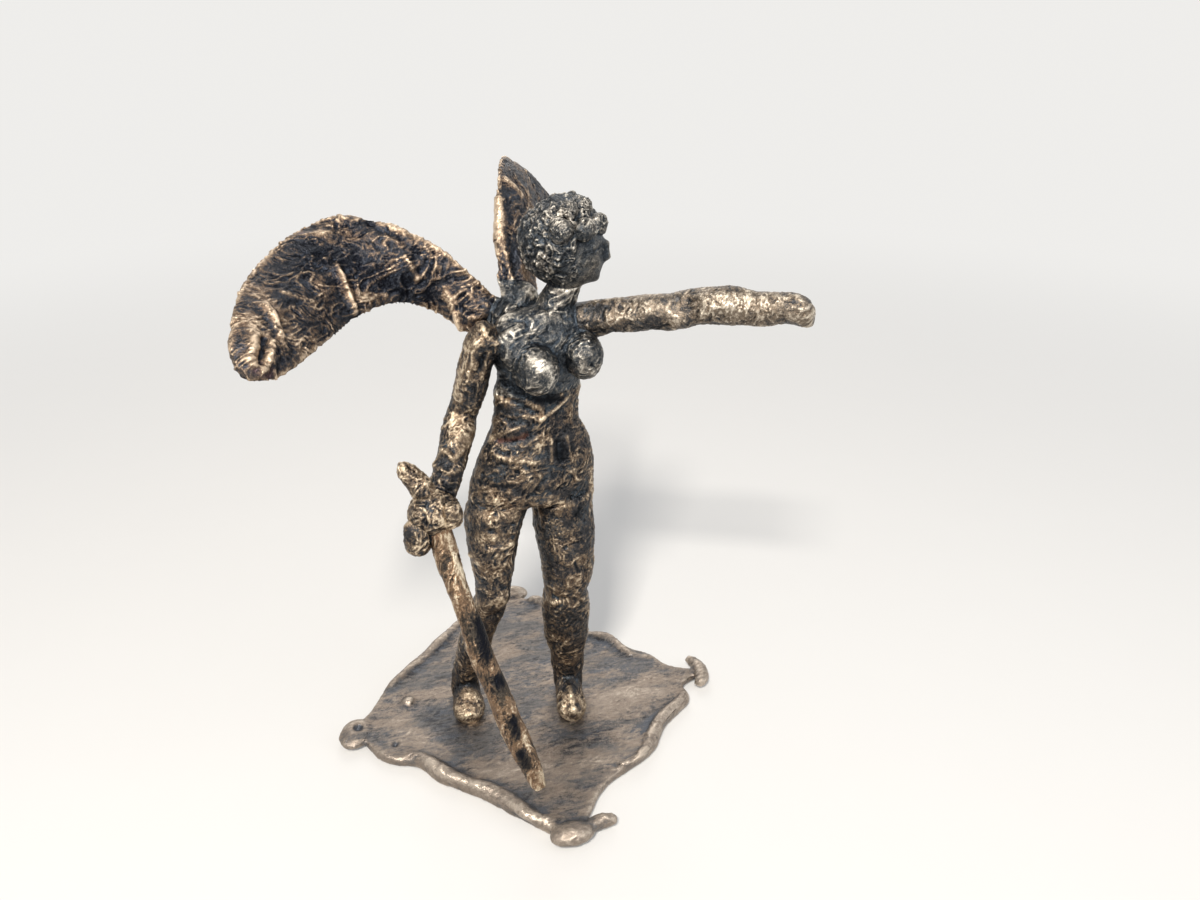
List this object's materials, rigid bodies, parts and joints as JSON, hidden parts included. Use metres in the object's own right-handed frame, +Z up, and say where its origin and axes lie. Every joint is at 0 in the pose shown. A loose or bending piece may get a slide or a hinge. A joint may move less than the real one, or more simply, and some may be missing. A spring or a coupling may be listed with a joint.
{
  "type": "figurine",
  "caption": "Small brazed bronze figurine of a winged standing figure with an outstretched arm and a long lowered sword, on a rough square plate.",
  "frame": {"origin": "middle of the square plate's flat underside", "axes": "+Z up; the plate's front corner points along -Y; the figure's outstretched left hand is on the +X side"},
  "size_m": [0.1362, 0.1254, 0.1612],
  "materials": {
    "bronze_patina": "dark patina, rubbed on the ridges",
    "bronze_blade": "rubbed bright over dark patina",
    "bronze_plate": "grey-brown patina, worn"
  },
  "bodies": {
    "root": {"abdomen": "bronze_patina", "base_plate": "bronze_plate", "chest": "bronze_patina", "hair_cap": "bronze_patina", "hair_curls": "bronze_patina", "head": "bronze_patina", "left_breast": "bronze_patina", "left_fingers": "bronze_patina", "left_foot": "bronze_patina", "left_forearm": "bronze_patina", "left_hand": "bronze_patina", "left_shin": "bronze_patina", "left_thigh": "bronze_patina", "left_upper_arm": "bronze_patina", "left_wing": "bronze_patina", "left_wing_root": "bronze_patina", "lug_front": "bronze_plate", "lug_left": "bronze_plate", "lug_right": "bronze_plate", "lumps_rear": "bronze_plate", "neck": "bronze_patina", "pelvis": "bronze_patina", "plate_pellet": "bronze_plate", "rim_back_left": "bronze_plate", "rim_back_right": "bronze_plate", "rim_front_left": "bronze_plate", "rim_front_right": "bronze_plate", "right_breast": "bronze_patina", "right_foot": "bronze_patina", "right_forearm": "bronze_patina", "right_hand": "bronze_patina", "right_shin": "bronze_patina", "right_thigh": "bronze_patina", "right_upper_arm": "bronze_patina", "right_wing": "bronze_patina", "right_wing_root": "bronze_patina", "spur_front": "bronze_plate", "sword_blade": "bronze_blade", "sword_grip": "bronze_blade", "sword_guard_inner": "bronze_blade", "sword_guard_outer": "bronze_blade", "sword_pommel": "bronze_blade"}
  },
  "joints": []
}
